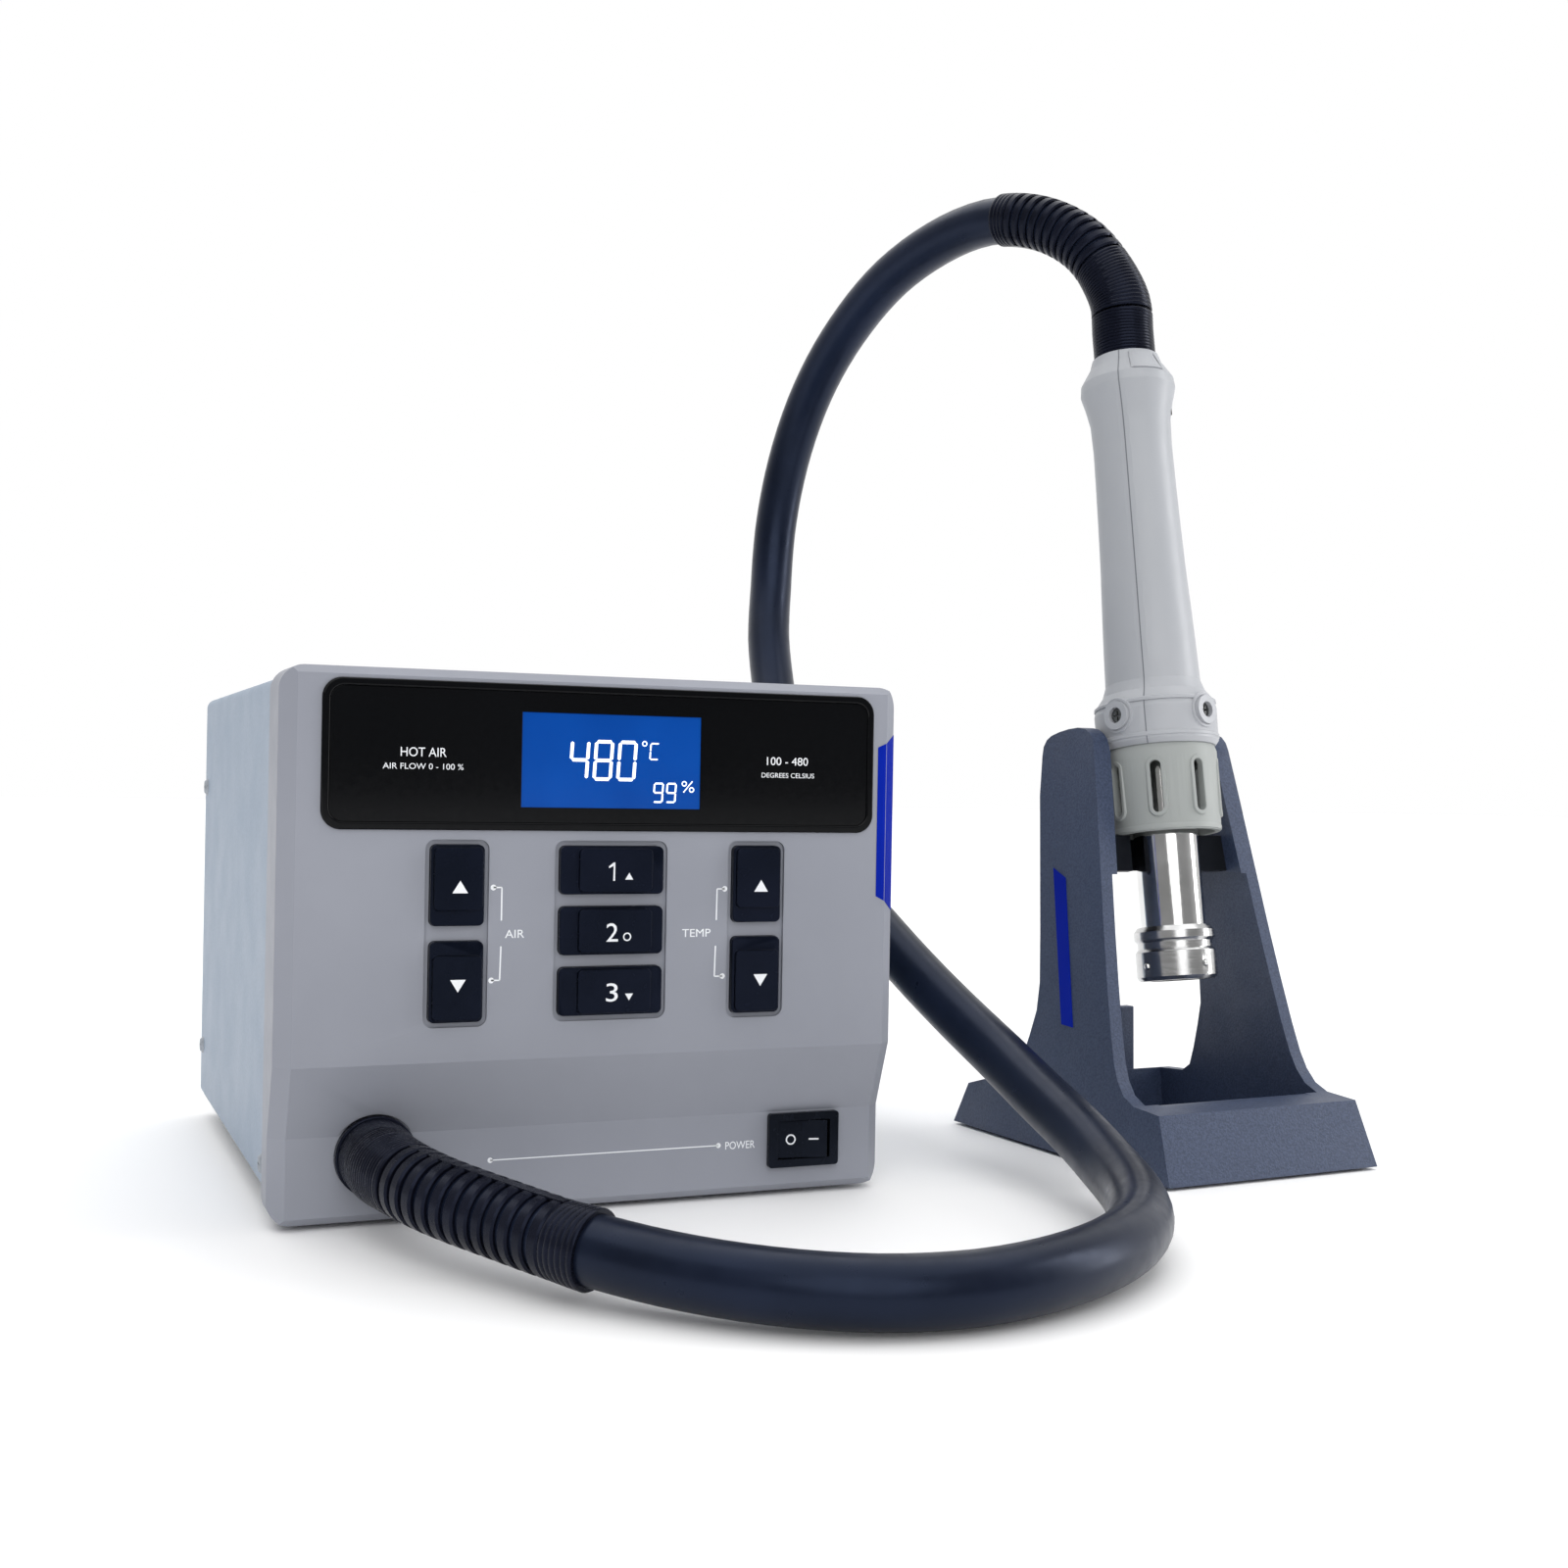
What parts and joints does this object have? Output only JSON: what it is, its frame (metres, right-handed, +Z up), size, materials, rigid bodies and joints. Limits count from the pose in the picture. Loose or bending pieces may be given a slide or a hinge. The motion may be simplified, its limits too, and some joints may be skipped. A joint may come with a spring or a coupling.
{
  "type": "hot air station",
  "caption": "Bench hot air rework station: metal control box with display, keys and rocker switch, thick hose, and hand piece resting nozzle down in a two-arm stand.",
  "frame": {"origin": "on the table, under the middle of the box that holds the station and its stand without the hose", "axes": "-Y is the front of the station, +X is towards the stand, +Z is up"},
  "size_m": [0.3253, 0.3459, 0.3235],
  "materials": {
    "metal_cover": "satin",
    "zinc_sheet": "satin",
    "bezel_plastic": "matt",
    "black_plastic": "satin",
    "black_gloss": "gloss",
    "screen_blue": "lit screen",
    "key_plastic": "satin",
    "circuit_board": "satin",
    "hose_rubber": "satin",
    "relief_rubber": "satin",
    "foot_rubber": "matt",
    "handle_plastic": "matt",
    "steel": "polished",
    "ceramic": "matt",
    "coil_wire": "dull",
    "stand_paint": "fine textured paint",
    "screw_steel": "dull",
    "brass": "bright",
    "white_plastic": "satin"
  },
  "bodies": {
    "station_and_stand": {"base_tray": "zinc_sheet", "top_cover": "metal_cover", "rear_panel": "zinc_sheet", "front_bezel": "bezel_plastic", "display_frame": "black_plastic", "display_lens": "black_gloss", "lcd_module": "screen_blue", "control_board": "circuit_board", "key_switches": "black_plastic", "switch_housing": "black_plastic", "hose_gland": "black_plastic", "gland_nut": "steel", "station_relief": "relief_rubber", "hose": "hose_rubber", "stand_body": "stand_paint", "stand_cradle": "black_plastic", "sleep_magnet": "steel", "nozzle_post": "stand_paint", "stand_pads": "foot_rubber", "blower_housing": "black_plastic", "blower_motor": "steel", "air_duct": "black_plastic", "power_board": "circuit_board", "board_standoffs": "brass", "mains_inlet": "black_plastic", "inlet_pins": "brass", "fuse_holder": "black_plastic", "rubber_feet": "foot_rubber", "cover_screws": "screw_steel"},
    "hand_piece": {"handle_relief": "relief_rubber", "handle_shell_left": "handle_plastic", "handle_shell_right": "handle_plastic", "handle_screws": "screw_steel", "vent_collar": "handle_plastic", "heater_tube": "steel", "heater_core": "ceramic", "heater_coil": "coil_wire", "nozzle_ring": "steel", "detent_balls": "steel"},
    "rocker": {"switch_rocker": "black_plastic"},
    "impeller": {"blower_impeller": "white_plastic"},
    "air_up_key": {"air_up_key": "key_plastic"},
    "air_down_key": {"air_down_key": "key_plastic"},
    "preset_1_key": {"preset_1_key": "key_plastic"},
    "preset_2_key": {"preset_2_key": "key_plastic"},
    "preset_3_key": {"preset_3_key": "key_plastic"},
    "temp_up_key": {"temp_up_key": "key_plastic"},
    "temp_down_key": {"temp_down_key": "key_plastic"}
  },
  "joints": [
    {"name": "air_up_key_press", "type": "slide", "parent": "station_and_stand", "child": "air_up_key", "axis": [0, 1, 0], "range_m": [0, 0.0012], "stiffness_N_per_m": 900, "springref_m": -0.0004},
    {"name": "air_down_key_press", "type": "slide", "parent": "station_and_stand", "child": "air_down_key", "axis": [0, 1, 0], "range_m": [0, 0.0012], "stiffness_N_per_m": 900, "springref_m": -0.0004},
    {"name": "preset_1_key_press", "type": "slide", "parent": "station_and_stand", "child": "preset_1_key", "axis": [0, 1, 0], "range_m": [0, 0.0012], "stiffness_N_per_m": 900, "springref_m": -0.0004},
    {"name": "preset_2_key_press", "type": "slide", "parent": "station_and_stand", "child": "preset_2_key", "axis": [0, 1, 0], "range_m": [0, 0.0012], "stiffness_N_per_m": 900, "springref_m": -0.0004},
    {"name": "preset_3_key_press", "type": "slide", "parent": "station_and_stand", "child": "preset_3_key", "axis": [0, 1, 0], "range_m": [0, 0.0012], "stiffness_N_per_m": 900, "springref_m": -0.0004},
    {"name": "temp_up_key_press", "type": "slide", "parent": "station_and_stand", "child": "temp_up_key", "axis": [0, 1, 0], "range_m": [0, 0.0012], "stiffness_N_per_m": 900, "springref_m": -0.0004},
    {"name": "temp_down_key_press", "type": "slide", "parent": "station_and_stand", "child": "temp_down_key", "axis": [0, 1, 0], "range_m": [0, 0.0012], "stiffness_N_per_m": 900, "springref_m": -0.0004},
    {"name": "power_rocker", "type": "hinge", "parent": "station_and_stand", "child": "rocker", "pos_m": [-0.0182, -0.0732, 0.0155], "axis": [0, 0, 1], "range_deg": [0, 18]},
    {"name": "hand_piece_lift", "type": "slide", "parent": "station_and_stand", "child": "hand_piece", "axis": [-0.011, 0.1578, 0.9874], "range_m": [0, 0.085], "deforming": ["hose"]},
    {"name": "blower_spin", "type": "hinge", "parent": "station_and_stand", "child": "impeller", "pos_m": [-0.113, 0.0384, 0], "axis": [0, 0, 1], "continuous": true}
  ]
}
